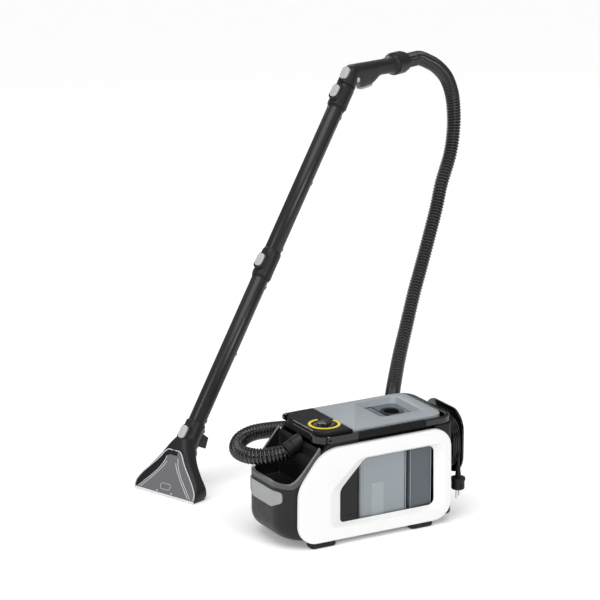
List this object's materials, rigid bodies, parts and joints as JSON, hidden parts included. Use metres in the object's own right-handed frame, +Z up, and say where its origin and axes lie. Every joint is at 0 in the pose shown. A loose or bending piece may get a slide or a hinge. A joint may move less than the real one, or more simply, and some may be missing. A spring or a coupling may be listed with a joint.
{
  "type": "spot carpet cleaner",
  "caption": "Compact spot carpet cleaner with side-view tanks, hose, two-piece spray wand with floor nozzle, carry handle and rear cord rack.",
  "frame": {"origin": "centre of the footprint on the floor", "axes": "+X from the machine's nose to its cord rack, +Y from the machine towards the wand, +Z up"},
  "size_m": [1.0818, 0.8824, 0.915],
  "materials": {
    "white_shell": "smooth, semi-gloss",
    "black_shell": "fine grained",
    "gloss_black": "high gloss",
    "lid_grey": "satin",
    "button_grey": "satin",
    "trim_satin": "satin metallic",
    "badge_silver": "brushed metallic",
    "ring_yellow": "semi-gloss",
    "tank_clear": "transparent, polished",
    "tank_smoke": "smoked transparent",
    "nozzle_clear": "transparent, polished",
    "wand_grey": "semi-gloss",
    "soft_black": "matte",
    "hose_black": "semi-gloss, ribbed",
    "motor_metal": "cast"
  },
  "bodies": {
    "machine": {"foot_front_near": "soft_black", "foot_front_far": "soft_black", "foot_rear_near": "soft_black", "foot_rear_far": "soft_black", "tank_cradle": "black_shell", "side_panel_near": "white_shell", "side_panel_far": "white_shell", "front_housing": "black_shell", "dock_trim_band": "trim_satin", "badge_plate": "badge_silver", "motor_can": "motor_metal", "fan_housing": "black_shell", "spray_pump": "black_shell", "switch_box": "black_shell", "rear_housing": "black_shell", "rear_deck": "black_shell", "cord_rack_core": "black_shell", "cord_rack_plate": "black_shell", "cord_gland": "soft_black", "control_head": "black_shell", "control_panel": "black_shell", "dial_ring": "ring_yellow", "hose_port": "black_shell", "hose_cuff_machine": "hose_black", "suction_hose": "hose_black", "mains_cord_hank": "soft_black", "mains_cord_to_gland": "soft_black", "mains_cord_to_plug": "soft_black", "mains_plug": "soft_black"},
    "dial": {"power_dial": "gloss_black"},
    "bail": {"carry_handle": "gloss_black", "handle_arm_near": "black_shell", "handle_arm_far": "black_shell"},
    "tank_unit": {"fresh_tank": "tank_clear", "waste_tank": "tank_smoke", "tank_collar": "black_shell", "tank_lid": "lid_grey", "waste_inlet": "tank_smoke", "recess_pane": "tank_clear"},
    "float": {"waste_float": "ring_yellow"},
    "turbine": {"turbine_fan": "button_grey"},
    "wand": {"nozzle_body": "wand_grey", "nozzle_cover": "nozzle_clear", "nozzle_lip": "button_grey", "lower_tube": "wand_grey", "mid_collar": "wand_grey", "upper_tube": "wand_grey", "handle_collar": "wand_grey", "spray_line_lower": "wand_grey", "spray_line_upper": "wand_grey", "spray_valve_block": "wand_grey", "grip_shell_left": "wand_grey", "grip_shell_right": "wand_grey", "hose_cuff_handle": "hose_black"},
    "nozzle_latch": {"nozzle_button": "button_grey"},
    "mid_latch": {"mid_button": "button_grey"},
    "collar_latch": {"collar_button": "button_grey"},
    "top_latch": {"top_button": "button_grey"},
    "trigger": {"spray_trigger": "button_grey"}
  },
  "joints": [
    {"name": "dial_turn", "type": "hinge", "parent": "machine", "child": "dial", "pos_m": [-0.22778, -0.332, 0.262], "axis": [0, 0, 1], "range_deg": [-60, 60]},
    {"name": "bail_swing", "type": "hinge", "parent": "machine", "child": "bail", "pos_m": [-0.25528, -0.3051, 0.2443], "axis": [0, -1, 0], "range_deg": [0, 60]},
    {"name": "tank_lift", "type": "slide", "parent": "machine", "child": "tank_unit", "axis": [0, 0, 1], "range_m": [0, 0.215]},
    {"name": "float_rise", "type": "slide", "parent": "tank_unit", "child": "float", "axis": [0, 0, 1], "range_m": [0, 0.04]},
    {"name": "turbine_spin", "type": "hinge", "parent": "machine", "child": "turbine", "pos_m": [-0.22328, -0.3051, 0.126], "axis": [0, 0, 1], "continuous": true},
    {"name": "wand_lift", "type": "slide", "parent": "machine", "child": "wand", "axis": [0, 0, 1], "range_m": [0, 0.15], "deforming": ["suction_hose"]},
    {"name": "nozzle_release", "type": "slide", "parent": "wand", "child": "nozzle_latch", "axis": [0.7414, 0.2769, -0.6113], "range_m": [0, 0.0025], "stiffness_N_per_m": 300},
    {"name": "mid_release", "type": "slide", "parent": "wand", "child": "mid_latch", "axis": [0.7414, 0.2769, -0.6113], "range_m": [0, 0.0025], "stiffness_N_per_m": 300},
    {"name": "collar_release", "type": "slide", "parent": "wand", "child": "collar_latch", "axis": [0.7414, 0.2769, -0.6113], "range_m": [0, 0.0025], "stiffness_N_per_m": 300},
    {"name": "top_release", "type": "slide", "parent": "wand", "child": "top_latch", "axis": [0.7414, 0.2769, -0.6113], "range_m": [0, 0.0025], "stiffness_N_per_m": 300},
    {"name": "trigger_pull", "type": "hinge", "parent": "wand", "child": "trigger", "pos_m": [0.28378, 0.33234, 0.862], "axis": [-0.3499, 0.9368, 0], "range_deg": [0, 7], "stiffness_Nm_per_rad": 0.6}
  ]
}
